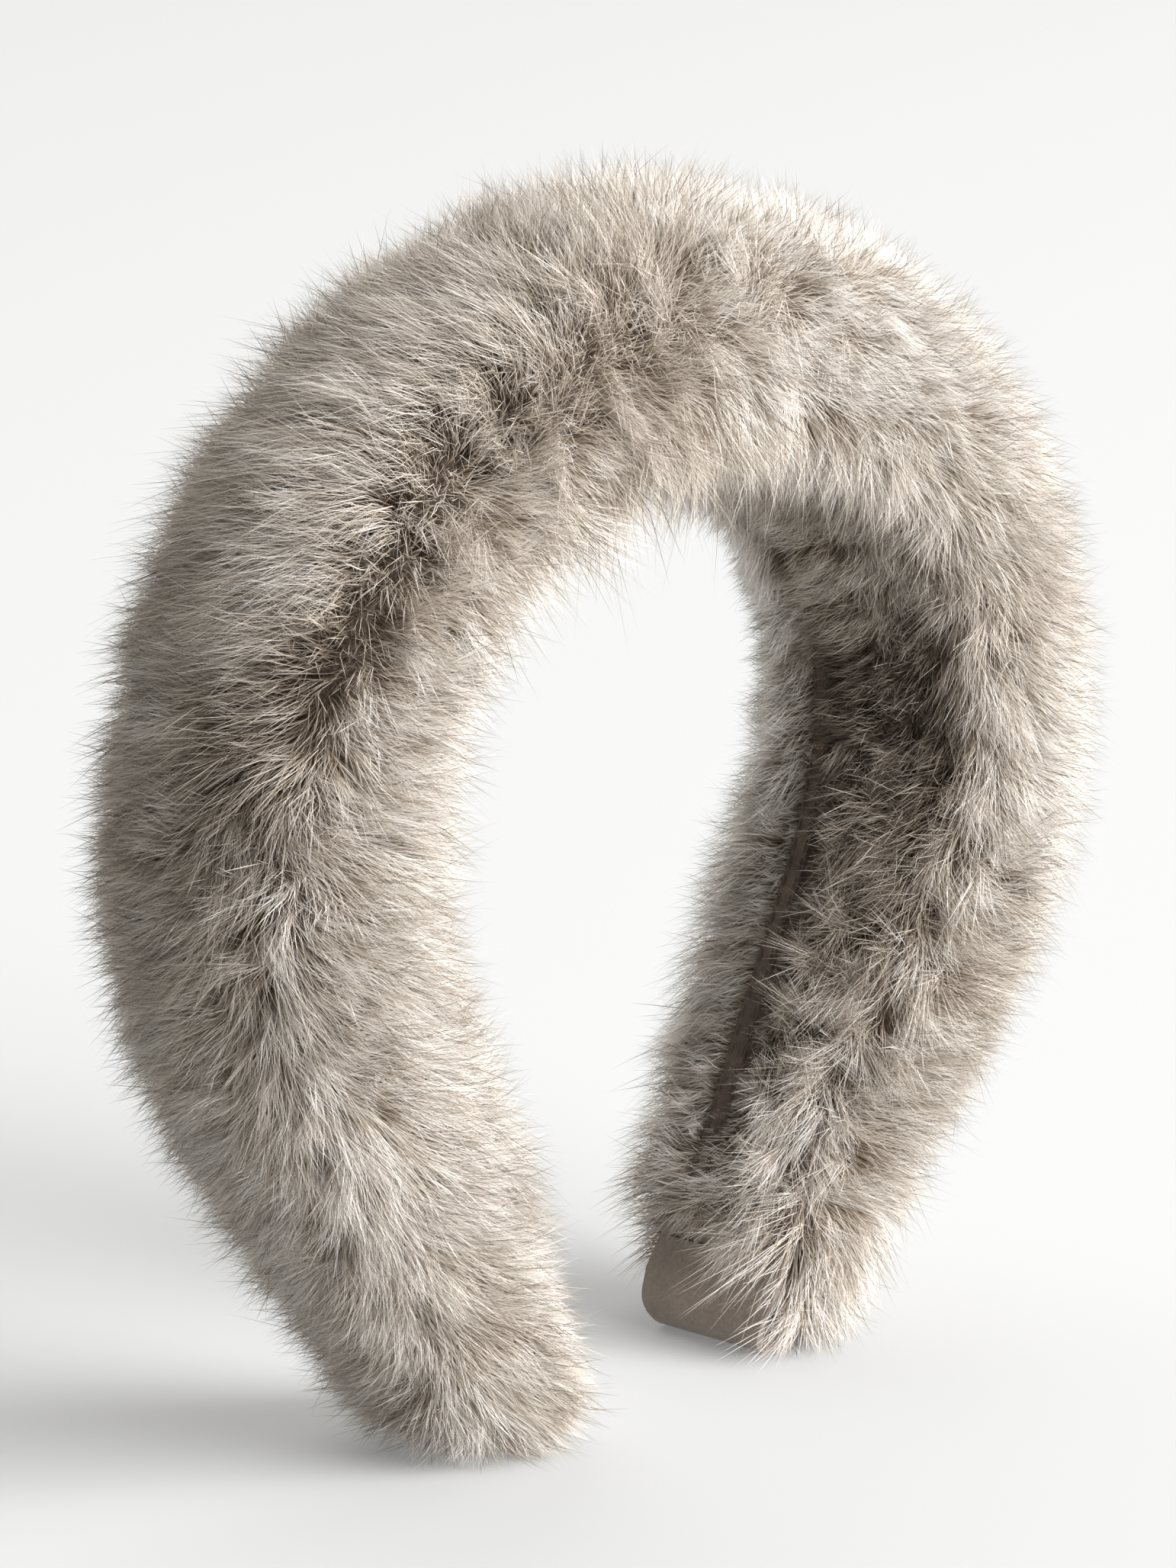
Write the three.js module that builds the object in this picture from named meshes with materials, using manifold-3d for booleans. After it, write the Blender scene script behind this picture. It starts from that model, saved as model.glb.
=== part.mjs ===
// Padded headband covered in long-pile plush, standing on its two ends.
// Millimetres, +Z up. X runs from end to end, Y from the front edge to the back edge.
// The origin is on the surface that it stands on, midway between the two ends.
import * as THREE from "three";
import { mergeVertices } from "three/addons/utils/BufferGeometryUtils.js";
import Module from "manifold-3d";

const wasm = await Module();
wasm.setup();

// The band's middle line: an elliptical arch, then straight legs that lean inwards.
const ARCH_HALF_WIDTH = 78;
const ARCH_RISE = 71;
const ARCH_CENTRE_HEIGHT = 100;
const LEG_LEAN = THREE.MathUtils.degToRad(31.4);

// Outer size of the dense pile, at shares of the way from the crown to an end.
const SECTION_SIZES = [
  { share: 0, width: 60.5, thickness: 47.5 },
  { share: 0.3, width: 60, thickness: 49.5 },
  { share: 0.6, width: 57.5, thickness: 50 },
  { share: 0.8, width: 51, thickness: 43.5 },
  { share: 1, width: 42, thickness: 34.5 },
];
const SECTION_EXPONENT = 2.15;
const POINTS_AROUND = 56;
const STATIONS_PER_HALF = 30;

// The foot: its sections turn level over this height, and its lower edge is rounded.
const LEVEL_HEIGHT = 42;
const FOOT_EDGE_RADIUS = 9;
const FOOT_EDGE_STEPS = 4;

// The valley where the pile parts along the inner face, a little towards the back edge.
const SEAM_OFFSET = 4.5;
const VALLEY_DEPTH = 4.5;
const VALLEY_HALF_WIDTH = 6.5;
const VALLEY_START_HEIGHT = 8;
const VALLEY_FULL_HEIGHT = 20;

// The flat tape in the valley, and how far it stands above the valley's floor.
const TAPE_WIDTH = 3.2;
const TAPE_THICKNESS = 1;
const TAPE_PROUD = 0.75;
const TAPE_END_HEIGHT = 20;
const TAPE_STATIONS_PER_HALF = 28;

// The end tab: a plate on the inner face that folds under the tip.
const TAB_THICKNESS = 1.6;
const TAB_DEPTH = 9;
const TAB_PLATE_LENGTH = 20;
const TAB_SOLE_LENGTH = 19;
const TAB_FOLD_RADIUS = 4;
const TAB_STATIONS = 36;
const TAB_HALF_WIDTHS = [
  { share: 0, half: 12 },
  { share: 0.04, half: 13 },
  { share: 0.3, half: 13.5 },
  { share: 0.45, half: 12.5 },
  { share: 0.55, half: 11 },
  { share: 0.96, half: 10 },
  { share: 1, half: 8.5 },
];

// The pile stops short of the tab: all round it, and at the lower corner as far as the back edge.
const BARE_HALF_WIDTH = 13.8;
const BARE_CORNER_LENGTH = 11;
const BARE_CORNER_REACH = 40;

// Clearance between pieces that touch.
const GAP = 0.3;

const { clamp, lerp, smoothstep } = THREE.MathUtils;

// Reads one column of a table whose rows are in order of their share.
function tableValue(rows, share, column) {
  const next = Math.max(rows.findIndex((row) => row.share >= share), 1);
  const before = rows[next - 1];
  const after = rows[next];
  const part = clamp((share - before.share) / (after.share - before.share), 0, 1);
  return lerp(before[column], after[column], part);
}

// Right half of the middle line in the XZ plane, from the crown to the end.
function makeMiddleLine() {
  const turn = Math.atan((Math.tan(LEG_LEAN) * ARCH_RISE) / ARCH_HALF_WIDTH);
  const line = new THREE.Path();
  line.absellipse(0, ARCH_CENTRE_HEIGHT, ARCH_HALF_WIDTH, ARCH_RISE, Math.PI / 2, -turn, true);
  const legTop = line.currentPoint;
  line.lineTo(legTop.x - legTop.y * Math.tan(LEG_LEAN), 0);
  return line;
}

const middleLine = makeMiddleLine();
const legEnd = middleLine.getPoint(1);

// The share of the right half at which the leg's middle line has this height.
function shareAtHeight(height) {
  return 1 - height / Math.cos(LEG_LEAN) / middleLine.getLength();
}

// Centre, outward direction and size of the section at a share of the right half.
function sectionAt(share) {
  const centre = middleLine.getPoint(share);
  const tangent = middleLine.getTangent(share);
  const slope = LEG_LEAN * (1 - smoothstep(centre.y, 0, LEVEL_HEIGHT));
  const outward = new THREE.Vector2(-tangent.y, tangent.x).rotateAround(new THREE.Vector2(), slope);
  const edge = Math.max(FOOT_EDGE_RADIUS - centre.y, 0);
  const inset = FOOT_EDGE_RADIUS - Math.sqrt(FOOT_EDGE_RADIUS ** 2 - edge ** 2);
  return {
    centre,
    outward,
    halfWidth: tableValue(SECTION_SIZES, share, "width") / 2 - inset,
    halfThickness: tableValue(SECTION_SIZES, share, "thickness") / (2 * Math.cos(slope)) - inset,
    valleyDepth: VALLEY_DEPTH * smoothstep(centre.y, VALLEY_START_HEIGHT, VALLEY_FULL_HEIGHT),
  };
}

// How far the pile's floor is raised by the valley at a given place across the inner face.
function valleyRise(section, across) {
  return section.valleyDepth * Math.exp(-(((across - SEAM_OFFSET) / VALLEY_HALF_WIDTH) ** 2));
}

// A point of a section: across runs along Y, and out along the section's outward direction.
function placeInSection(section, across, out, side) {
  const x = section.centre.x + section.outward.x * out;
  return new THREE.Vector3(side * x, across, section.centre.y + section.outward.y * out);
}

// The loops at all stations, from the left end over the crown to the right end.
function loopsFromEndToEnd(shares, makeLoop) {
  const left = shares.toReversed().map((share) => makeLoop(share, -1));
  const right = shares.slice(1).map((share) => makeLoop(share, 1));
  return [...left, ...right];
}

// A closed solid through loops that all have the same number of points, with flat ends.
function loft(loops) {
  const around = loops[0].length;
  const lastRing = around * (loops.length - 1);
  const faces = [];
  for (let start = 0; start < lastRing; start += around) {
    for (let i = 0; i < around; i += 1) {
      const next = (i + 1) % around;
      faces.push(start + i, start + next, start + next + around);
      faces.push(start + i, start + next + around, start + i + around);
    }
  }
  for (let i = 1; i < around - 1; i += 1) {
    faces.push(0, i + 1, i);
    faces.push(lastRing, lastRing + i, lastRing + i + 1);
  }
  const geometry = new THREE.BufferGeometry().setFromPoints(loops.flat());
  geometry.setIndex(faces);
  return geometry;
}

// The dense pile's outer form, before its seats are cut.
function coverGeometry() {
  const edgeShare = shareAtHeight(FOOT_EDGE_RADIUS);
  const shares = [];
  for (let i = 0; i <= STATIONS_PER_HALF; i += 1) {
    shares.push((edgeShare * i) / STATIONS_PER_HALF);
  }
  for (let i = 1; i <= FOOT_EDGE_STEPS; i += 1) {
    const turn = (Math.PI / 2) * (i / FOOT_EDGE_STEPS);
    shares.push(shareAtHeight(FOOT_EDGE_RADIUS * (1 - Math.sin(turn))));
  }
  const power = 2 / SECTION_EXPONENT;
  const makeLoop = (share, side) => {
    const section = sectionAt(share);
    const loop = [];
    for (let i = 0; i < POINTS_AROUND; i += 1) {
      const angle = (2 * Math.PI * i) / POINTS_AROUND;
      const cos = Math.cos(angle);
      const sin = Math.sin(angle);
      const across = section.halfWidth * Math.sign(cos) * Math.abs(cos) ** power;
      const round = section.halfThickness * Math.sign(sin) * Math.abs(sin) ** power;
      const out = round + Math.max(-sin, 0) * valleyRise(section, across);
      loop.push(placeInSection(section, across, out, side));
    }
    return loop;
  };
  return loft(loopsFromEndToEnd(shares, makeLoop));
}

// The tape, or with some clearance the seat that it lies in.
function tapeGeometry(clearance) {
  const lastShare = shareAtHeight(TAPE_END_HEIGHT - clearance);
  const shares = [];
  for (let i = 0; i <= TAPE_STATIONS_PER_HALF; i += 1) {
    shares.push((lastShare * i) / TAPE_STATIONS_PER_HALF);
  }
  const halfWidth = TAPE_WIDTH / 2 + clearance;
  const halfThickness = TAPE_THICKNESS / 2 + clearance;
  const makeLoop = (share, side) => {
    const section = sectionAt(share);
    const reach = (1 - (SEAM_OFFSET / section.halfWidth) ** SECTION_EXPONENT) ** (1 / SECTION_EXPONENT);
    const floor = valleyRise(section, SEAM_OFFSET) - section.halfThickness * reach;
    const middle = floor + TAPE_THICKNESS / 2 - TAPE_PROUD;
    return [
      placeInSection(section, SEAM_OFFSET + halfWidth, middle - halfThickness, side),
      placeInSection(section, SEAM_OFFSET + halfWidth, middle + halfThickness, side),
      placeInSection(section, SEAM_OFFSET - halfWidth, middle + halfThickness, side),
      placeInSection(section, SEAM_OFFSET - halfWidth, middle - halfThickness, side),
    ];
  };
  return loft(loopsFromEndToEnd(shares, makeLoop));
}

// Where the right tab's plate would meet the surface below if it weren't folded, at mid-thickness.
const legDown = new THREE.Vector2(-Math.sin(LEG_LEAN), -Math.cos(LEG_LEAN));
const legIn = new THREE.Vector2(legDown.y, -legDown.x);
const tabCorner = legEnd.clone().addScaledVector(legIn, TAB_DEPTH - TAB_THICKNESS / 2);
tabCorner.addScaledVector(legDown, (TAB_THICKNESS / 2 - tabCorner.y) / legDown.y);

// The right tab's mid-thickness line in the XZ plane: down its plate, round the fold, along its sole.
function makeTabLine() {
  const foldTurn = Math.PI / 2 + LEG_LEAN;
  const plateTop = tabCorner.clone().addScaledVector(legDown, -TAB_PLATE_LENGTH);
  const setback = TAB_FOLD_RADIUS * Math.tan(foldTurn / 2);
  const plateFoot = tabCorner.clone().addScaledVector(legDown, -setback);
  const foldCentre = plateFoot.clone().addScaledVector(legIn, -TAB_FOLD_RADIUS);
  const foldStart = legIn.angle();
  const line = new THREE.Path([plateTop, plateFoot]);
  line.absarc(foldCentre.x, foldCentre.y, TAB_FOLD_RADIUS, foldStart, foldStart + foldTurn, false);
  line.lineTo(tabCorner.x + TAB_SOLE_LENGTH, tabCorner.y);
  return line;
}

const tabLine = makeTabLine();

// The right tab, or with some clearance the seat that it lies in.
function tabGeometry(clearance) {
  const halfThickness = TAB_THICKNESS / 2 + clearance;
  const loops = [];
  for (let i = 0; i <= TAB_STATIONS; i += 1) {
    const share = i / TAB_STATIONS;
    const tangent = tabLine.getTangent(share);
    const overshoot = (2 * share - 1) * clearance;
    const middle = tabLine.getPoint(share).addScaledVector(tangent, overshoot);
    const halfWidth = tableValue(TAB_HALF_WIDTHS, share, "half") + clearance;
    const upper = new THREE.Vector2(-tangent.y, tangent.x).multiplyScalar(halfThickness);
    loops.push([
      new THREE.Vector3(middle.x + upper.x, halfWidth, middle.y + upper.y),
      new THREE.Vector3(middle.x + upper.x, -halfWidth, middle.y + upper.y),
      new THREE.Vector3(middle.x - upper.x, -halfWidth, middle.y - upper.y),
      new THREE.Vector3(middle.x - upper.x, halfWidth, middle.y - upper.y),
    ]);
  }
  return loft(loops);
}

// The space without pile in front of the right tab, up to a length of its plate, between two Ys.
function bareSpaceGeometry(plateLength, nearY, farY) {
  const top = tabCorner.clone().addScaledVector(legDown, -plateLength);
  const fold = tabLine.curves[1].getPoints(8);
  const below = -TAB_THICKNESS;
  const outline = new THREE.Shape([
    top,
    ...fold,
    new THREE.Vector2(fold.at(-1).x, below),
    new THREE.Vector2(0, below),
    new THREE.Vector2(0, top.y + top.x * Math.tan(LEG_LEAN)),
  ]);
  const geometry = new THREE.ExtrudeGeometry(outline, { depth: farY - nearY, bevelEnabled: false });
  geometry.rotateX(Math.PI / 2);
  geometry.translate(0, farY, 0);
  geometry.deleteAttribute("normal");
  geometry.deleteAttribute("uv");
  return mergeVertices(geometry);
}

// The same shape on the other side of the plane X = 0, with its faces still outwards.
function mirrored(geometry) {
  const copy = geometry.clone().scale(-1, 1, 1);
  copy.setIndex(Array.from(geometry.index.array).reverse());
  return copy;
}

function toSolid(geometry) {
  const mesh = new wasm.Mesh({
    numProp: 3,
    vertProperties: geometry.attributes.position.array,
    triVerts: Uint32Array.from(geometry.index.array),
  });
  return new wasm.Manifold(mesh);
}

function toGeometry(solid) {
  const { vertProperties, triVerts } = solid.getMesh();
  const geometry = new THREE.BufferGeometry();
  geometry.setAttribute("position", new THREE.BufferAttribute(vertProperties, 3));
  geometry.setIndex(new THREE.BufferAttribute(triVerts, 1));
  return geometry;
}

// The cover with the tape's and both tabs' seats, and the spaces without pile, cut out of it.
function cutCoverGeometry() {
  const rightCuts = [
    tabGeometry(GAP),
    bareSpaceGeometry(TAB_PLATE_LENGTH + GAP, -BARE_HALF_WIDTH, BARE_HALF_WIDTH),
    bareSpaceGeometry(BARE_CORNER_LENGTH, 0, BARE_CORNER_REACH),
  ];
  const cuts = [tapeGeometry(GAP), ...rightCuts, ...rightCuts.map(mirrored)];
  const cover = cuts.reduce((solid, cut) => solid.subtract(toSolid(cut)), toSolid(coverGeometry()));
  return toGeometry(cover);
}

function makeNode(name, geometry, color, roughness) {
  geometry.computeVertexNormals();
  const material = new THREE.MeshStandardMaterial({ color, roughness, metalness: 0 });
  const mesh = new THREE.Mesh(geometry, material);
  mesh.name = name;
  return mesh;
}

const headband = new THREE.Group();
headband.add(
  makeNode("plush_cover", cutCoverGeometry(), 0xb9aea1, 1),
  makeNode("inner_seam_tape", tapeGeometry(0), 0x6e6157, 0.95),
  makeNode("end_tab_left", mirrored(tabGeometry(0)), 0x7f7568, 0.95),
  makeNode("end_tab_right", tabGeometry(0), 0x7f7568, 0.95),
);

export default headband;
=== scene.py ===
import math

import bpy
import numpy as np
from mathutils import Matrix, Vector
from mathutils.bvhtree import BVHTree
from mathutils.kdtree import KDTree


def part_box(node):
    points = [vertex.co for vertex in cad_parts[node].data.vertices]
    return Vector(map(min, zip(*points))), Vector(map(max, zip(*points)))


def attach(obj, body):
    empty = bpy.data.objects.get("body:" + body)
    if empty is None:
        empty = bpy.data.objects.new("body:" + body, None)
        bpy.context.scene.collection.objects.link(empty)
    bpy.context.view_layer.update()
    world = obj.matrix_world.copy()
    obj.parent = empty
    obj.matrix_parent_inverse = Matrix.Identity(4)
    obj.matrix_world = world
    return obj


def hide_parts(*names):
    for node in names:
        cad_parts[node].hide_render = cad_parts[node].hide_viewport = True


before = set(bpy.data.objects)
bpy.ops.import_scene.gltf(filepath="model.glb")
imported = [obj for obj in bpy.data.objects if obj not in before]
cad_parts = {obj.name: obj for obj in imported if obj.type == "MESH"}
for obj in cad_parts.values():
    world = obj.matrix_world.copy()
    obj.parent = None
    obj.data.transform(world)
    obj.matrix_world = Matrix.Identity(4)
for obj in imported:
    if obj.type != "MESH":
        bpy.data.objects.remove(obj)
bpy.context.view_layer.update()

mm = 0.001


# Camera: a long lens a metre away, a little above the headband and off its left front. It aims
# at about the headband's middle.
view_azimuth = math.radians(-48.8)
view_elevation = math.radians(14.4)
view_distance = 1.0
lens = 147
aim = Vector((-6.3 * mm, 0, 99.8 * mm))
towards_camera = Vector((
    math.sin(view_azimuth) * math.cos(view_elevation),
    -math.cos(view_azimuth) * math.cos(view_elevation),
    math.sin(view_elevation),
))
camera = bpy.data.objects.new("camera", bpy.data.cameras.new("camera"))
camera.data.lens = lens
camera.location = aim + view_distance * towards_camera
camera.rotation_euler = towards_camera.to_track_quat("Z", "Y").to_euler()
bpy.context.scene.collection.objects.link(camera)
bpy.context.scene.camera = camera


# Padded body: the stuffed tube of knitted backing cloth that the pile grows from. It is the
# dense pile's outer form drawn in by the pile's length, and swelled by its padding.
pile_length = 9 * mm
seam_depth = 0.8 * mm
seam_reach = 10 * mm
foot_top = 22 * mm
foot_floor = 2.4 * mm
lowest = 1.6 * mm
arch_middle = Vector((0, 0, 96 * mm))
weld_distance = 0.01 * mm
first_voxel = 4.5 * mm
last_voxel = 5.5 * mm
edge_shift = 3.2 * mm
padding_pressure = 4
padding_frames = 12
most_swell = 1.2 * mm
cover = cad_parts["plush_cover"]
tape_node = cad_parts["inner_seam_tape"]
tab_nodes = [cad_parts["end_tab_left"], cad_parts["end_tab_right"]]


def tree_of(node):
    points = [v.co.copy() for v in node.data.vertices]
    return BVHTree.FromPolygons(points, [tuple(p.vertices) for p in node.data.polygons])


def distances(tree, points):
    return np.array([tree.find_nearest(Vector(p))[3] for p in points])


def smoothstep(values, low, high):
    share = np.clip((values - low) / (high - low), 0, 1)
    return share * share * (3 - 2 * share)


def fades(values, full, gone):
    return 1 - smoothstep(values, full, gone)


def near(values, middle, spread):
    return np.exp(-((values - middle) / spread) ** 2)


def places(mesh):
    found = np.empty(len(mesh.vertices) * 3)
    mesh.vertices.foreach_get("co", found)
    return found.reshape(-1, 3)


def normals(mesh):
    found = np.empty(len(mesh.vertices) * 3)
    mesh.vertices.foreach_get("normal", found)
    return found.reshape(-1, 3)


def move_to(mesh, points):
    mesh.vertices.foreach_set("co", np.ascontiguousarray(points, float).ravel())
    mesh.update()


def only(piece):
    bpy.ops.object.select_all(action="DESELECT")
    piece.select_set(True)
    bpy.context.view_layer.objects.active = piece


def finish_with(piece, kind, **settings):
    only(piece)
    modifier = piece.modifiers.new(kind.lower(), kind)
    for name, value in settings.items():
        setattr(modifier, name, value)
    bpy.ops.object.modifier_apply(modifier=modifier.name)


body = bpy.data.objects.new("padded_body", cover.data.copy())
body.data.materials.clear()
bpy.context.scene.collection.objects.link(body)
only(body)
bpy.ops.object.mode_set(mode="EDIT")
bpy.ops.mesh.select_all(action="SELECT")
bpy.ops.mesh.remove_doubles(threshold=weld_distance)
bpy.ops.object.mode_set(mode="OBJECT")
finish_with(body, "REMESH", mode="VOXEL", voxel_size=first_voxel)
finish_with(body, "SMOOTH", factor=0.6, iterations=6)

tape_tree = tree_of(tape_node)
tab_trees = [tree_of(node) for node in tab_nodes]


def tab_distances(points):
    return np.minimum(distances(tab_trees[0], points), distances(tab_trees[1], points))


found = places(body.data)
near_trim = np.minimum(distances(tape_tree, found), tab_distances(found))
depth = seam_depth + (pile_length - seam_depth) * smoothstep(near_trim, 0, seam_reach)
outward = normals(body.data)
inwards = np.array(arch_middle) - found
inwards /= np.linalg.norm(inwards, axis=1)[:, None]
faces_in = np.clip((outward * inwards).sum(1), 0, 1)
faces_front = np.clip(-outward[:, 1], 0, 1)
edge_turn = np.degrees(np.arctan2(faces_front, faces_in))
# The right leg's inner front edge is drawn in, and filled out a little further round the front.
right_leg = smoothstep(found[:, 0], 15 * mm, 40 * mm) * smoothstep(found[:, 2], 20 * mm, 60 * mm)
right_leg *= faces_in + faces_front > 0.3
depth += edge_shift * right_leg * near(edge_turn, 42, 16)
depth -= edge_shift * right_leg * near(edge_turn, 78, 14)
found -= outward * depth[:, None]
in_foot = np.clip((foot_top - found[:, 2]) / (foot_top - pile_length), 0, 1)
found[:, 2] -= in_foot * (pile_length - foot_floor)
found[:, 2] = np.maximum(found[:, 2], lowest)
move_to(body.data, found)
finish_with(body, "REMESH", mode="VOXEL", voxel_size=last_voxel)
finish_with(body, "SMOOTH", factor=0.5, iterations=4)

before = places(body.data)
cloth = body.modifiers.new("cloth", "CLOTH")
cloth.settings.use_pressure = True
cloth.settings.uniform_pressure_force = padding_pressure
cloth.settings.effector_weights.gravity = 0
for step in range(1, padding_frames + 1):
    bpy.context.scene.frame_set(step)
only(body)
bpy.ops.object.modifier_apply(modifier="cloth")
bpy.context.scene.frame_set(1)
swell = places(body.data) - before
moved = np.linalg.norm(swell, axis=1)
most = most_swell * smoothstep(before[:, 2], 4 * mm, 30 * mm)
swell *= np.minimum(1, most / np.maximum(moved, 1e-9))[:, None]
move_to(body.data, before + swell)
finish_with(body, "SUBSURF", levels=1, render_levels=1)
only(body)
bpy.ops.object.shade_smooth()

backing = bpy.data.materials.new("backing_cloth")
backing.use_nodes = True
nodes, links = backing.node_tree.nodes, backing.node_tree.links
skin = nodes["Principled BSDF"]
skin.inputs["Roughness"].default_value = 0.95
place = nodes.new("ShaderNodeTexCoord")
knit = nodes.new("ShaderNodeTexNoise")
knit.inputs["Scale"].default_value = 900
knit.inputs["Detail"].default_value = 4
tone = nodes.new("ShaderNodeValToRGB")
tone.color_ramp.elements[0].color = (0.1, 0.075, 0.055, 1)
tone.color_ramp.elements[1].color = (0.3, 0.24, 0.19, 1)
links.new(place.outputs["Object"], knit.inputs["Vector"])
links.new(knit.outputs["Fac"], tone.inputs["Fac"])
links.new(tone.outputs["Color"], skin.inputs["Base Color"])
body.data.materials.append(backing)
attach(body, "root")
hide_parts("plush_cover")


# Seam tape: a narrow woven cotton tape sewn flat over the closing seam on the inner side, with
# a row of dark thread along each of its edges.
tape_row_offset = 1.15 * mm
tape_row_end = 158
tape_row_steps = 950
tape_cloth = bpy.data.materials.new("woven_tape")
tape_cloth.use_nodes = True
nodes, links = tape_cloth.node_tree.nodes, tape_cloth.node_tree.links
weave_skin = nodes["Principled BSDF"]
weave_skin.inputs["Roughness"].default_value = 0.9
weave_skin.inputs["Sheen Weight"].default_value = 0.15
place = nodes.new("ShaderNodeTexCoord")
yarns = nodes.new("ShaderNodeTexWave")
yarns.wave_type = "BANDS"
yarns.bands_direction = "Y"
yarns.inputs["Scale"].default_value = 700
yarns.inputs["Distortion"].default_value = 1.5
yarns.inputs["Detail"].default_value = 2
wear = nodes.new("ShaderNodeTexNoise")
wear.inputs["Scale"].default_value = 260
wear.inputs["Detail"].default_value = 5
# The tape's tones are its own brown darkened further: painted shade of the valley between the pile on
# either side.
tone = nodes.new("ShaderNodeValToRGB")
tone.color_ramp.elements[0].position = 0.3
tone.color_ramp.elements[0].color = (0.055, 0.037, 0.026, 1)
tone.color_ramp.elements[1].position = 0.75
tone.color_ramp.elements[1].color = (0.14, 0.102, 0.074, 1)
relief = nodes.new("ShaderNodeBump")
relief.inputs["Strength"].default_value = 0.5
relief.inputs["Distance"].default_value = 0.15 * mm
links.new(place.outputs["Object"], yarns.inputs["Vector"])
links.new(place.outputs["Object"], wear.inputs["Vector"])
links.new(wear.outputs["Fac"], tone.inputs["Fac"])
links.new(tone.outputs["Color"], weave_skin.inputs["Base Color"])
links.new(yarns.outputs["Fac"], relief.inputs["Height"])
links.new(relief.outputs["Normal"], weave_skin.inputs["Normal"])
for slot in tape_node.material_slots:
    slot.material = tape_cloth

thread = bpy.data.materials.new("sewing_thread")
thread.use_nodes = True
nodes, links = thread.node_tree.nodes, thread.node_tree.links
twist_skin = nodes["Principled BSDF"]
twist_skin.inputs["Roughness"].default_value = 0.7
place = nodes.new("ShaderNodeTexCoord")
twist = nodes.new("ShaderNodeTexNoise")
twist.inputs["Scale"].default_value = 2500
tone = nodes.new("ShaderNodeValToRGB")
tone.color_ramp.elements[0].color = (0.035, 0.024, 0.018, 1)
tone.color_ramp.elements[1].color = (0.1, 0.072, 0.052, 1)
links.new(place.outputs["Object"], twist.inputs["Vector"])
links.new(twist.outputs["Fac"], tone.inputs["Fac"])
links.new(tone.outputs["Color"], twist_skin.inputs["Base Color"])


def unit(vectors):
    return vectors / np.maximum(np.linalg.norm(vectors, axis=1), 1e-9)[:, None]


def along_surface(tree, starts, directions):
    """The first points that rays meet on a surface, and the surface's outward side there."""
    found = []
    sides = []
    for start, direction in zip(starts, directions):
        hit, normal, _, _ = tree.ray_cast(Vector(start), Vector(direction))
        if hit:
            found.append(hit)
            sides.append(-normal if normal.dot(Vector(direction)) > 0 else normal)
    return np.array(found), unit(np.array(sides))


def sew(name, rows, pitch, stitch, thickness):
    """One mesh of stitches, each a bent thread with closed ends, at an even pitch along rows."""
    # Each row of bows is a share of the stitch's length and its rise in thicknesses of thread.
    bows = np.array([(-0.5, -0.5), (-0.4, 0.25), (0, 0.5), (0.4, 0.25), (0.5, -0.5)])
    corners = 6
    look_ahead = 0.3 * mm
    ring = np.linspace(0, 2 * math.pi, corners, endpoint=False)
    points = []
    faces = []
    for line, sides in rows:
        run = np.concatenate([[0], np.cumsum(np.linalg.norm(np.diff(line, axis=0), axis=1))])
        for at in np.arange(pitch / 2, run[-1], pitch):
            centre = np.array([np.interp(at, run, line[:, axis]) for axis in range(3)])
            up = unit(np.array([[np.interp(at, run, sides[:, axis]) for axis in range(3)]]))[0]
            ahead = np.array([np.interp(at + look_ahead, run, line[:, axis]) for axis in range(3)])
            forward = unit((ahead - centre - (ahead - centre) @ up * up)[None])[0]
            across = np.cross(up, forward)
            first = len(points)
            for share, rise in bows:
                middle = centre + share * stitch * forward + rise * thickness * up
                for angle in ring:
                    spoke = math.cos(angle) * across + math.sin(angle) * up
                    points.append(middle + 0.5 * thickness * spoke)
            for station in range(len(bows) - 1):
                near_ring = first + station * corners
                far_ring = near_ring + corners
                for corner in range(corners):
                    following = (corner + 1) % corners
                    one_side = (near_ring + corner, far_ring + corner)
                    other_side = (far_ring + following, near_ring + following)
                    faces.append(one_side + other_side)
            faces.append(tuple(range(first, first + corners)))
            last = first + (len(bows) - 1) * corners
            faces.append(tuple(range(last + corners - 1, last - 1, -1)))
    mesh = bpy.data.meshes.new(name)
    mesh.from_pydata(points, [], faces)
    mesh.materials.append(thread)
    piece = bpy.data.objects.new(name, mesh)
    bpy.context.scene.collection.objects.link(piece)
    only(piece)
    bpy.ops.object.mode_set(mode="EDIT")
    bpy.ops.mesh.select_all(action="SELECT")
    bpy.ops.mesh.normals_make_consistent(inside=False)
    bpy.ops.object.mode_set(mode="OBJECT")
    bpy.ops.object.shade_smooth_by_angle(angle=math.radians(60))
    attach(piece, "root")
    return piece


tape_middle_y = 0.5 * (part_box("inner_seam_tape")[0][1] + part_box("inner_seam_tape")[1][1])
tape_rows = []
turns = np.radians(np.linspace(-tape_row_end, tape_row_end, tape_row_steps))
rays = np.stack([np.sin(turns), np.zeros(len(turns)), np.cos(turns)], 1)
for offset in (-tape_row_offset, tape_row_offset):
    starts = np.tile([0, tape_middle_y + offset, arch_middle.z], (len(turns), 1))
    tape_rows.append(along_surface(tape_tree, starts, rays))
tape_stitches = sew("tape_stitches", tape_rows, pitch=3.2 * mm, stitch=2.3 * mm, thickness=0.34 * mm)


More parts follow.
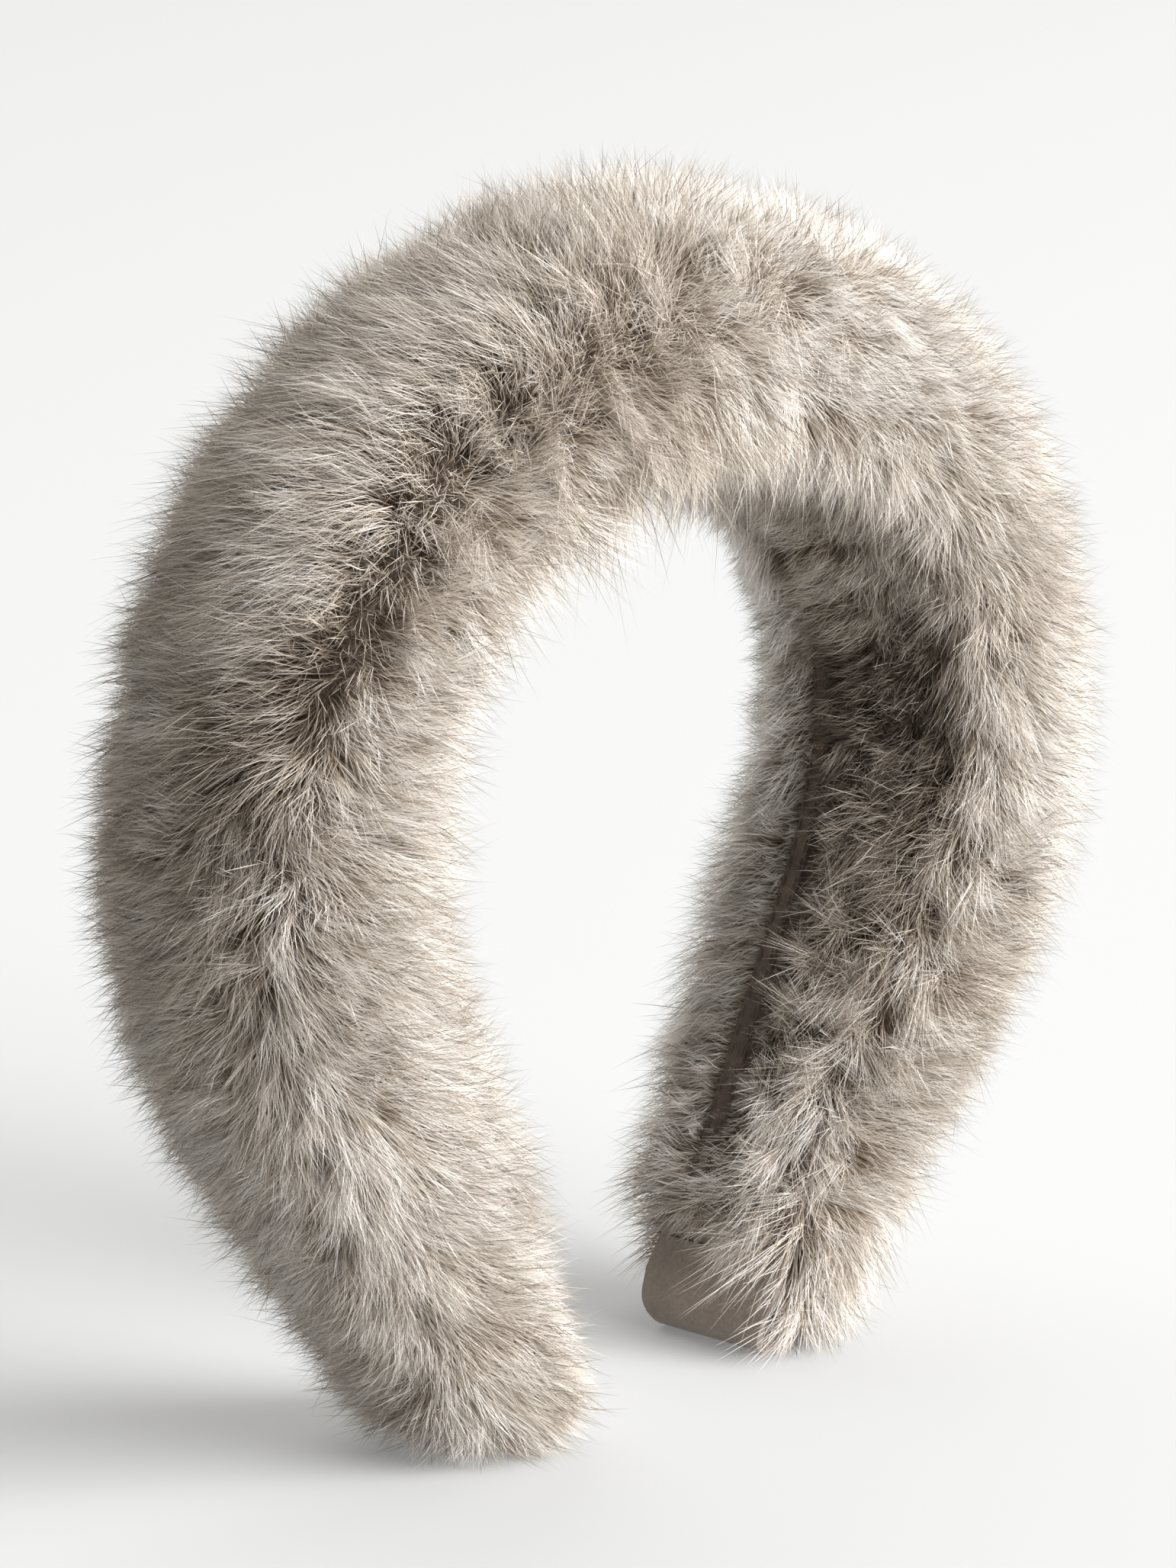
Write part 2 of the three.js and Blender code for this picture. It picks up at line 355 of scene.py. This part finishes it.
# End tabs: suede caps sewn over the two cut ends of the band and folded under its feet, with a
# row of dark thread across each.
tab_row_height = 15 * mm
tab_row_ends = (-12.5, 12.5)
tab_row_steps = 40
suede = bpy.data.materials.new("suede")
suede.use_nodes = True
nodes, links = suede.node_tree.nodes, suede.node_tree.links
nap_skin = nodes["Principled BSDF"]
nap_skin.inputs["Roughness"].default_value = 0.95
nap_skin.inputs["Sheen Weight"].default_value = 0.35
nap_skin.inputs["Sheen Roughness"].default_value = 0.6
place = nodes.new("ShaderNodeTexCoord")
nap = nodes.new("ShaderNodeTexNoise")
nap.inputs["Scale"].default_value = 1400
nap.inputs["Detail"].default_value = 6
rubbed = nodes.new("ShaderNodeTexNoise")
rubbed.inputs["Scale"].default_value = 160
rubbed.inputs["Detail"].default_value = 4
mottle = nodes.new("ShaderNodeMix")
mottle.inputs[0].default_value = 0.5
tone = nodes.new("ShaderNodeValToRGB")
tone.color_ramp.elements[0].position = 0.3
tone.color_ramp.elements[0].color = (0.17, 0.135, 0.11, 1)
tone.color_ramp.elements[1].position = 0.7
tone.color_ramp.elements[1].color = (0.31, 0.255, 0.21, 1)
relief = nodes.new("ShaderNodeBump")
relief.inputs["Strength"].default_value = 0.6
relief.inputs["Distance"].default_value = 0.2 * mm
links.new(place.outputs["Object"], nap.inputs["Vector"])
links.new(place.outputs["Object"], rubbed.inputs["Vector"])
links.new(nap.outputs["Fac"], mottle.inputs[2])
links.new(rubbed.outputs["Fac"], mottle.inputs[3])
links.new(mottle.outputs[0], tone.inputs["Fac"])
links.new(tone.outputs["Color"], nap_skin.inputs["Base Color"])
links.new(nap.outputs["Fac"], relief.inputs["Height"])
links.new(relief.outputs["Normal"], nap_skin.inputs["Normal"])
for node in tab_nodes:
    for slot in node.material_slots:
        slot.material = suede

tab_rows = []
across_tab = np.linspace(*tab_row_ends, tab_row_steps) * mm
starts = np.stack([np.zeros(tab_row_steps), across_tab, np.full(tab_row_steps, tab_row_height)], 1)
for tree, way in zip(tab_trees, (-1, 1)):
    tab_rows.append(along_surface(tree, starts, np.tile([way, 0, 0], (tab_row_steps, 1))))
tab_stitches = sew("tab_stitches", tab_rows, pitch=3 * mm, stitch=2.1 * mm, thickness=0.36 * mm)


# Pile: soft plush hair, brushed to either side of a parting over the left and the front. Each
# hair is a thin flat blade of two lengths that narrows to a point. It is rooted in the backing
# cloth, and the hairs gather in small tufts within larger ones.
strand_count = 318000
spare_share = 1.19
thinned_share = 0.7
faces_back = 0.2
blade_shares = np.array([0, 0.55, 1.0])
blade_widths = np.array([0.85, 1.0])
guard_share = 0.15
usual_tint = 0.62
sag = 0.06
trimmed_at = 41.4 * mm
floor_touch = 1.2 * mm
most_turn = math.radians(121)
seam_y = 4.5 * mm
lean_off_parting = 1.5
lean_along_band = 0.15
lean_along_ridge = 0.5
lean_off_seam = 0.35
lean_over_seam = 0.7
lean_down_beneath = 0.5
lean_behind = 0.35
brushing = np.array([0.659, -0.752, 0])
parted_side = np.array([-0.752, -0.659, 0])
dice = np.random.default_rng(7)


def scatter(mesh, count):
    """Points spread evenly over a mesh, with the mesh's smooth normals there."""
    mesh.calc_loop_triangles()
    corners = np.empty(len(mesh.loop_triangles) * 3, np.int32)
    mesh.loop_triangles.foreach_get("vertices", corners)
    corners = corners.reshape(-1, 3)
    at, up = places(mesh), normals(mesh)
    a, b, c = at[corners[:, 0]], at[corners[:, 1]], at[corners[:, 2]]
    area = np.linalg.norm(np.cross(b - a, c - a), axis=1)
    total = np.cumsum(area)
    picks = np.searchsorted(total, (np.arange(count) + dice.random(count)) / count * total[-1])
    picks = np.minimum(picks, len(area) - 1)
    u, v = dice.random(count), dice.random(count)
    over = u + v > 1
    u[over], v[over] = 1 - u[over], 1 - v[over]
    w = 1 - u - v
    three = corners[picks]
    point = at[three[:, 0]] * w[:, None] + at[three[:, 1]] * u[:, None] + at[three[:, 2]] * v[:, None]
    normal = up[three[:, 0]] * w[:, None] + up[three[:, 1]] * u[:, None] + up[three[:, 2]] * v[:, None]
    return point, unit(normal)


def waves(points, length, seed):
    """A smooth random vector at each point, which changes over about the given length."""
    own = np.random.default_rng(seed)
    total = np.zeros_like(points)
    for _ in range(10):
        direction = unit(own.normal(size=(1, 3)))[0]
        frequency = 2 * math.pi / (length * own.uniform(0.7, 1.5))
        phase = (points @ direction * frequency)[:, None] + own.uniform(0, 2 * math.pi, 3)
        total += np.sin(phase)
    return total / 10 ** 0.5


def from_parting(points, normal):
    """Where points lie across the pile's parting: below 0 the hair is brushed left, above right."""
    height = points[:, 2]
    left_shift = 0.22 * smoothstep(height, 55 * mm, 85 * mm) - smoothstep(height, 100 * mm, 165 * mm)
    right_shift = 0.15 - 0.5 * smoothstep(height, 50 * mm, 95 * mm)
    crossed = smoothstep(points[:, 0], -15 * mm, 45 * mm)
    return normal @ brushing + (1 - crossed) * left_shift + crossed * right_shift


def lay(points, normal):
    """How far and which way the pile leans at points on the backing cloth, and its length."""
    x, y, height = points.T
    left = x < 0
    right = x > 0
    side = np.where(left, -1, 1)
    turn = np.minimum(np.arctan2(np.abs(x), height - arch_middle.z), most_turn)
    along = np.stack([side * np.cos(turn), np.zeros(len(turn)), -np.sin(turn)], 1)
    to_middle = unit(np.array(arch_middle) - points)
    inner = np.clip((normal * to_middle).sum(1), 0, 1)
    outer = np.clip(-(normal * to_middle).sum(1), 0, 1)
    front = np.clip(-normal[:, 1], 0, 1)
    inward = -side * normal[:, 0]
    seam = distances(tape_tree, points)
    tab = tab_distances(points)

    # It is brushed away from the parting, and down the band most of all along it.
    brushed = from_parting(points, normal) + 0.14 * waves(points, 14 * mm, seed=4)[:, 0]
    ridge = near(brushed, 0, 0.35) * np.maximum(outer, front)
    away = np.where(left, 1, 1 - 0.65 * smoothstep(inner, 0.5, 0.9))
    away *= smoothstep(normal @ parted_side, 0, 0.6)
    away *= np.where(left, smoothstep(tab, 3 * mm, 14 * mm), smoothstep(tab, 6 * mm, 26 * mm))
    lean = lean_off_parting * (brushed * away)[:, None] * brushing
    down_band = lean_along_band + lean_along_ridge * ridge
    combed = smoothstep(turn, math.radians(30), math.radians(80)) * down_band
    lean += combed[:, None] * along

    # It lies off the tape along the legs, and over it at the tape's ends and under the arch.
    beside = fades(seam, 3 * mm, 10 * mm) * smoothstep(inner, 0.3, 0.7)
    parting = beside * (1 - 0.9 * smoothstep(height, 75 * mm, 98 * mm))
    covering = beside - parting + beside * fades(height, 30 * mm, 42 * mm)
    lean[:, 1] += parting * np.where(y > seam_y, lean_off_seam, 0)
    lean[:, 1] -= lean_over_seam * covering * np.where(y > seam_y, 1, -1)

    # It waves a little everywhere, hangs under the front and is matted on the legs' inner face.
    lean += 0.22 * waves(points, 16 * mm, seed=1) + 0.2 * waves(points, 6 * mm, seed=2)
    lean[:, 2] -= lean_down_beneath * smoothstep(-normal[:, 2], 0.1, 0.7) * front
    matted = smoothstep(inner, 0.1, 0.4) * smoothstep(front, 0.1, 0.4)
    matted *= fades(height, 75 * mm, 105 * mm)
    lean += (0.5 * matted + 0.35 * ridge)[:, None] * waves(points, 7 * mm, seed=3)

    # A fringe falls over the tabs' front edges, and the right foot's reaches the floor.
    over_tab = fades(tab, 4 * mm, 12 * mm) * (y < -3 * mm) * (inner > 0.1)
    beside_tab = fades(tab, 2 * mm, 15 * mm) * smoothstep(-y, 8 * mm, 14 * mm)
    near_floor = right * fades(height, 12 * mm, 38 * mm)
    near_floor *= smoothstep(-y, 3 * mm, 10 * mm)
    lean[:, 0] -= 0.5 * beside_tab * right
    lean[:, 1] += 0.6 * over_tab + beside_tab * np.where(right, 0.7, 0.2)
    lean[:, 2] -= 1.1 * over_tab + 0.8 * near_floor * smoothstep(normal @ parted_side, 0, 0.5)
    behind = smoothstep(x, 10 * mm, 30 * mm) * smoothstep(y, 7 * mm, 14 * mm)
    behind *= fades(height, 50 * mm, 115 * mm) * smoothstep(inward, -0.1, 0.35)
    lean[:, 2] -= lean_behind * behind
    lean -= (lean * normal).sum(1)[:, None] * normal

    # It is longer where it leans and at the inner edges, and shorter on the inner face and feet.
    edge = smoothstep(inner, 0.1, 0.4) * fades(inner, 0.7, 0.9)
    over_arch = fades(turn, math.radians(25), math.radians(55))
    high_left = smoothstep(height, 130 * mm, 160 * mm) * (x < 15 * mm) * outer
    corner = fades(height, 8 * mm, 13 * mm) * smoothstep(y, 4 * mm, 7 * mm)
    corner *= smoothstep(inward, -0.5, -0.1)
    clipped = np.where(y < 3 * mm, smoothstep(inner, 0.35, 0.75), smoothstep(inner, 0.75, 0.95))
    length = pile_length * (1 + 0.25 * np.linalg.norm(lean, axis=1)) * (1 - 0.35 * parting)
    length *= 1 - 0.35 * fades(tab, 1 * mm, 7 * mm) * (y > -3 * mm)
    length *= 1 + edge * (0.2 * left + 0.6 * over_arch) + 0.2 * high_left + 0.7 * behind
    length *= 1 + 0.1 * beside_tab * right
    length *= 1 - 0.75 * corner * fades(tab, 8 * mm, 14 * mm)
    length *= 1 - 0.45 * clipped * (1 - matted)
    length *= 1 - 0.3 * left * fades(height, 25 * mm, 50 * mm) * smoothstep(inner, 0, 0.4)
    return lean, length


def beneath(tree, points, normal, reach):
    """True for the points that have the piece over them within a reach."""
    hits = [tree.ray_cast(Vector(p), Vector(n), reach)[0] for p, n in zip(points, normal)]
    return np.array([hit is not None for hit in hits])


def bare(points, normal):
    """True where no pile grows: on the tape, under the tabs and beneath the feet."""
    on_tape = distances(tape_tree, points) < 1 * mm
    on_tab = tab_distances(points) < 1.4 * mm
    sole = (normal[:, 2] < -0.85) & (points[:, 2] < 6 * mm)
    covered = beneath(tab_trees[0], points, normal, 9 * mm)
    covered |= beneath(tab_trees[1], points, normal, 9 * mm)
    covered |= beneath(tape_tree, points, normal, 4 * mm) & (points[:, 2] < 90 * mm)
    return on_tape | on_tab | sole | covered


roots, root_normals = scatter(body.data, int(strand_count * spare_share))
grows = ~bare(roots, root_normals)
grows &= (root_normals[:, 1] < faces_back) | (dice.random(len(roots)) < thinned_share)
roots, root_normals = roots[grows][:strand_count], root_normals[grows][:strand_count]
strand_count = len(roots)
leans, lengths = lay(roots, root_normals)


def nearest(centres, points):
    """The number of the nearest centre to each point."""
    tree = KDTree(len(centres))
    for number, centre in enumerate(centres):
        tree.insert(Vector(centre), number)
    tree.balance()
    return np.array([tree.find(Vector(point))[1] for point in points])


def hair_line(start, normal, lean, length, share):
    """The place at a share of a hair's length: it starts near upright and bends to its lean."""
    first = unit(normal + 0.45 * lean)
    last = unit(normal + 1.7 * lean)
    bend = 0.5 * share * share
    return start + length[:, None] * ((share - bend) * first + bend * last)


# One hair in seven is a guard hair, which is longer, finer and darker than the rest.
guard = dice.random(strand_count) < guard_share
reach = np.where(guard, dice.uniform(1.1, 1.5, strand_count), dice.normal(1, 0.09, strand_count))
reach[guard & (distances(tape_tree, roots) < 6 * mm)] *= 0.6
x, y, height = roots.T
inner_back = (y > 6 * mm) & ((root_normals * (np.array(arch_middle) - roots)).sum(1) > 0)
reach[guard & inner_back] *= 0.85
lengths = lengths * reach
loose = dice.normal(size=(strand_count, 3)) * np.where(guard, 0.22, 0.17)[:, None]
leans = leans + loose
twisted = root_normals + 0.7 * dice.normal(size=(strand_count, 3))
side = unit(np.cross(root_normals + leans, twisted))
width = np.where(guard, 0.115 * mm, dice.uniform(0.1, 0.16, strand_count) * mm)
width[root_normals[:, 1] > faces_back] *= 1.3

# The tint is dark at 0 and pale at 1, with a random share for each hair and each tuft. The rest
# is painted shade and painted light: darker inside the legs, in and beside the parting, on the
# right foot and at the crown's top left, and paler over the crown and the right leg's side, down
# the front, low on the left leg, behind the seam on the right, beside the right tab and on the locks.
tint_with_painted_shading = usual_tint + dice.normal(0, 0.11, strand_count)
facing_in = (root_normals * unit(np.array(arch_middle) - roots)).sum(1)
across = from_parting(roots, root_normals)
on_left = (x < 0) * smoothstep(root_normals @ parted_side, -0.1, 0.3)
# Painted shade on the legs' inner faces in front of the seam, strongest on the right leg.
shaded = smoothstep(facing_in, 0.3, 0.7) * (y < 3 * mm)
shaded *= np.where(x > 0, 1, 0.45)
shaded *= smoothstep(height, 30 * mm, 85 * mm) * fades(height, 104 * mm, 126 * mm)
# Painted shade in the parting, and beside it on the left leg's shaded side.
parting_shade = near(across, -0.1, 0.22) * near(height, 135 * mm, 32 * mm)
shade_beside_parting = smoothstep(-across, -0.12, 0.1) * fades(-across, 0.4, 0.8)
shade_beside_parting *= near(height, 127 * mm, 20 * mm)
# Painted light over the crown and on the right leg's outer side.
painted_light_on_crown_and_side = smoothstep(height, 130 * mm, 175 * mm) * smoothstep(x, -20 * mm, 20 * mm)
painted_light_on_crown_and_side += smoothstep(x, 60 * mm, 85 * mm) * near(height, 88 * mm, 20 * mm)
# Painted shade low on the right foot's outer side.
painted_shade_on_right_foot = smoothstep(x, 50 * mm, 70 * mm) * fades(height, 45 * mm, 70 * mm)
lit = smoothstep(height, 30 * mm, 60 * mm) * fades(height, 140 * mm, 160 * mm)
light_beside_right_tab = fades(distances(tab_trees[1], roots), 6 * mm, 22 * mm)
locks = smoothstep(facing_in, 0.1, 0.4) * smoothstep(-root_normals[:, 1], 0.1, 0.4)
locks *= fades(height, 75 * mm, 105 * mm)
# Painted shade inside the legs and in and beside the parting.
tint_with_painted_shading -= 0.62 * shaded + on_left * np.maximum(0.22 * parting_shade, 0.5 * shade_beside_parting)
# Painted light over the crown and the right leg's side, and painted shade low on the right foot's
# outer side.
tint_with_painted_shading += (0.34 * np.minimum(painted_light_on_crown_and_side, 1) - 0.42 * painted_shade_on_right_foot) * (facing_in < 0.2)
# Painted light low on the left leg's shaded side and down its lit front.
tint_with_painted_shading += 0.12 * on_left * (across < 0) * fades(height, 60 * mm, 90 * mm)
tint_with_painted_shading += 0.12 * on_left * (across > 0) * lit
# Painted light on the right leg's inner face behind the seam, and a little painted shade on the left
# leg's.
tint_with_painted_shading += np.where(x > 0, 0.4, -0.05) * (facing_in > 0.3) * (y > 6 * mm)
# Painted shade on the crown's top left.
tint_with_painted_shading -= 0.07 * smoothstep(height, 150 * mm, 175 * mm) * (x < 20 * mm)
# Painted light on the low fringe in front of the right tab.
tint_with_painted_shading += 0.14 * light_beside_right_tab * fades(height, 8 * mm, 20 * mm) * (y < -8 * mm)
# Painted light on the curled locks at the legs' inner front edges.
tint_with_painted_shading += 0.06 * locks

clumps = []
tufts = [(17000, 0.2, 0.75, 0.18, 0.12), (3600, 0.0, 0.6, 0.3, 0.08)]
for count, low_pull, high_pull, spread, tint_spread in tufts:
    centres, centre_normals = scatter(body.data, count)
    centre_leans, centre_lengths = lay(centres, centre_normals)
    centre_leans += spread * dice.normal(size=(count, 3))
    centre_lengths *= dice.normal(1, 0.08, count)
    centre_curls = np.cross(centre_normals, dice.normal(size=(count, 3)))
    centre_curls *= (centre_lengths * 0.14)[:, None]
    own = nearest(centres, roots)
    pull = dice.uniform(low_pull, high_pull, count)[own] * np.where(guard, 0.4, 1 + 0.35 * locks)
    tint_with_painted_shading += dice.normal(0, tint_spread, count)[own]
    tuft = (centres[own], centre_normals[own], centre_leans[own], centre_lengths[own] * reach)
    clumps.append((*tuft, centre_curls[own] * (1 + 1.5 * locks)[:, None], np.minimum(pull, 0.9)))
tint_with_painted_shading[guard] = dice.uniform(0.03, 0.3, guard.sum())
tint_with_painted_shading = np.clip(tint_with_painted_shading, 0.03, 0.97)
curl = np.cross(root_normals, dice.normal(size=(strand_count, 3))) * (lengths * 0.18)[:, None]

rows = []
for share in blade_shares:
    row = hair_line(roots, root_normals, leans, lengths, share)
    for centre, centre_normal, centre_lean, centre_length, centre_curl, pull in clumps:
        middle = hair_line(centre, centre_normal, centre_lean, centre_length, share)
        middle += centre_curl * math.sin(4.2 * share)
        row += (pull * share ** 1.3)[:, None] * (middle - row)
    row += curl * (share * share)
    row[:, 2] -= sag * share * share * lengths
    # Hairs that would pass through the floor lie close along it.
    low = row[:, 2] < floor_touch
    pressed = floor_touch * np.exp((row[low, 2] - floor_touch) / (4 * mm))
    row[low, 2] = pressed * 0.9 + 0.1 * mm
    rows.append(row)

# Hairs that reach too far to the front or the back are trimmed.
tip_y = rows[-1][:, 1]
too_far = np.abs(tip_y) > trimmed_at
kept = np.ones(strand_count)
kept[too_far] = np.sign(tip_y[too_far]) * trimmed_at - y[too_far]
kept[too_far] /= tip_y[too_far] - y[too_far]
rows = [roots + kept[:, None] * (row - roots) for row in rows]

# In a blade's map, U is its tint, painted shade and light included, and V runs from its root to its
# tip.
tint_half_width = 0.003
root_v = 0.02
tip_v = 0.98
blade_points = []
blade_uvs = []
for row, share, narrow in zip(rows, blade_shares, blade_widths):
    row_v = np.full(strand_count, root_v + (tip_v - root_v) * share)
    for sign in (-1, 1):
        blade_points.append(row + sign * 0.5 * narrow * width[:, None] * side)
        blade_uvs.append((tint_with_painted_shading + sign * tint_half_width, row_v))
blade_points.append(rows[-1])
blade_uvs.append((tint_with_painted_shading, np.full(strand_count, tip_v)))
blade_points = np.stack(blade_points, 1)
blade_uvs = np.stack([np.stack(pair, 1) for pair in blade_uvs], 1)
blade_faces = [(0, 1, 3, 2), (2, 3, 4)]

hair = bpy.data.materials.new("plush_hair")
hair.use_nodes = True
nodes, links = hair.node_tree.nodes, hair.node_tree.links
strand = nodes["Principled BSDF"]
strand.inputs["Roughness"].default_value = 0.5
strand.inputs["Specular IOR Level"].default_value = 0.35
chart = nodes.new("ShaderNodeUVMap")
chart.uv_map = "OFBake"
split = nodes.new("ShaderNodeSeparateXYZ")
root_shade_to_tip = nodes.new("ShaderNodeValToRGB")
# The blades darken towards the root: painted shade for the shadow deep in the pile.
stops = [
    (0.0, (0.24, 0.17, 0.115)),
    (0.35, (0.56, 0.485, 0.4)),
    (0.7, (0.87, 0.845, 0.81)),
    (1.0, (0.935, 0.928, 0.912)),
]
while len(root_shade_to_tip.color_ramp.elements) < len(stops):
    root_shade_to_tip.color_ramp.elements.new(0.5)
for element, (at, colour) in zip(root_shade_to_tip.color_ramp.elements, stops):
    element.position = at
    element.color = (*colour, 1)
dark_to_pale = nodes.new("ShaderNodeValToRGB")
dark_to_pale.color_ramp.elements[0].color = (0.12, 0.09, 0.065, 1)
dark_to_pale.color_ramp.elements.new(0.35)
dark_to_pale.color_ramp.elements[1].color = (0.635, 0.577, 0.507, 1)
dark_to_pale.color_ramp.elements[2].color = (1, 1, 1, 1)
both = nodes.new("ShaderNodeMix")
both.data_type = "RGBA"
both.blend_type = "MULTIPLY"
both.inputs[0].default_value = 1
through = nodes.new("ShaderNodeBsdfTranslucent")
blend = nodes.new("ShaderNodeMixShader")
blend.inputs[0].default_value = 0.33
links.new(chart.outputs["UV"], split.inputs[0])
links.new(split.outputs["X"], dark_to_pale.inputs["Fac"])
links.new(split.outputs["Y"], root_shade_to_tip.inputs["Fac"])
links.new(root_shade_to_tip.outputs["Color"], both.inputs[6])
links.new(dark_to_pale.outputs["Color"], both.inputs[7])
links.new(both.outputs[2], strand.inputs["Base Color"])
links.new(both.outputs[2], through.inputs["Color"])
links.new(strand.outputs[0], blend.inputs[1])
links.new(through.outputs[0], blend.inputs[2])
links.new(blend.outputs[0], nodes["Material Output"].inputs["Surface"])


def pile_piece(name, chosen):
    """One mesh of all the chosen hairs."""
    count = len(chosen)
    per_blade = blade_points.shape[1]
    start = np.arange(count)[:, None] * per_blade
    corners = np.concatenate([start + np.array(face) for face in blade_faces], 1)
    sizes = np.tile([len(face) for face in blade_faces], count)
    mesh = bpy.data.meshes.new(name)
    mesh.vertices.add(count * per_blade)
    mesh.vertices.foreach_set("co", blade_points[chosen].ravel())
    mesh.loops.add(corners.size)
    mesh.loops.foreach_set("vertex_index", corners.ravel().astype(np.int32))
    mesh.polygons.add(len(sizes))
    mesh.polygons.foreach_set("loop_start", (np.cumsum(sizes) - sizes).astype(np.int32))
    mesh.polygons.foreach_set("use_smooth", np.ones(len(sizes), bool))
    layer = mesh.uv_layers.new(name="OFBake")
    order = np.concatenate([np.array(face) for face in blade_faces])
    layer.uv.foreach_set("vector", blade_uvs[chosen][:, order].ravel().astype(np.float32))
    mesh.update(calc_edges=True)
    mesh.materials.append(hair)
    piece = bpy.data.objects.new(name, mesh)
    bpy.context.scene.collection.objects.link(piece)
    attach(piece, "root")


turn = np.arctan2(x, height - arch_middle.z)
pile_names = ["pile_left_end", "pile_left_side", "pile_crown", "pile_right_side", "pile_right_end"]
for name, chosen in zip(pile_names, np.array_split(np.argsort(turn), len(pile_names))):
    pile_piece(name, chosen)


# Floor: a plain pale studio surface, much larger than the view. Its faint glow stands for the
# light that a bright room throws on it.
floor_size = 14
bpy.ops.object.select_all(action="DESELECT")
bpy.ops.mesh.primitive_plane_add(size=floor_size, location=(0, 0, 0))
floor = bpy.context.object
floor.name = "studio_floor"
paper = bpy.data.materials.new("studio_paper")
paper.use_nodes = True
surface = paper.node_tree.nodes["Principled BSDF"]
surface.inputs["Base Color"].default_value = (0.34, 0.34, 0.337, 1)
surface.inputs["Roughness"].default_value = 0.9
surface.inputs["Specular IOR Level"].default_value = 0.2
surface.inputs["Emission Color"].default_value = (1, 1, 0.985, 1)
surface.inputs["Emission Strength"].default_value = 0.18
floor.data.materials.append(paper)


# Light: three round soft lights, a small high one and a large low one off the right front and
# one nearly straight in front, with a wide sky that is brightest on the right and behind.
light_distance = 7
sky_height = 18
faintest_sky = 0.09


def from_direction(azimuth, height):
    azimuth, height = math.radians(azimuth), math.radians(height)
    level = math.cos(height)
    return Vector((math.sin(azimuth) * level, -math.cos(azimuth) * level, math.sin(height)))


def soft_light(name, azimuth, height, size, energy):
    towards = from_direction(azimuth, height)
    lamp = bpy.data.objects.new(name, bpy.data.lights.new(name, "AREA"))
    lamp.data.shape = "DISK"
    lamp.data.size = size
    lamp.data.energy = energy
    lamp.data.color = (0.98, 0.985, 1)
    lamp.location = light_distance * towards
    lamp.rotation_euler = towards.to_track_quat("Z", "Y").to_euler()
    bpy.context.scene.collection.objects.link(lamp)


soft_light("high_light", 38, 36, 2.6, 200)
soft_light("low_light", 28, 13, 5, 1450)
soft_light("front_light", 11, 28, 5, 580)
world = bpy.data.worlds.new("studio")
bpy.context.scene.world = world
world.use_nodes = True
nodes, links = world.node_tree.nodes, world.node_tree.links
sky_place = nodes.new("ShaderNodeTexCoord")
sky_sum = nodes.new("ShaderNodeMath")
sky_sum.operation = "ADD"
for socket, azimuth, strength in [(0, 131, 1.9), (1, 86, 0.6)]:
    facing = nodes.new("ShaderNodeVectorMath")
    facing.operation = "DOT_PRODUCT"
    facing.inputs[1].default_value = strength * from_direction(azimuth, sky_height)
    bright = nodes.new("ShaderNodeMath")
    bright.operation = "MAXIMUM"
    bright.inputs[1].default_value = faintest_sky
    links.new(sky_place.outputs["Generated"], facing.inputs[0])
    links.new(facing.outputs["Value"], bright.inputs[0])
    links.new(bright.outputs[0], sky_sum.inputs[socket])
links.new(sky_sum.outputs[0], nodes["Background"].inputs["Strength"])
nodes["Background"].inputs["Color"].default_value = (1, 0.995, 0.98, 1)
bpy.context.scene.view_settings.view_transform = "Standard"
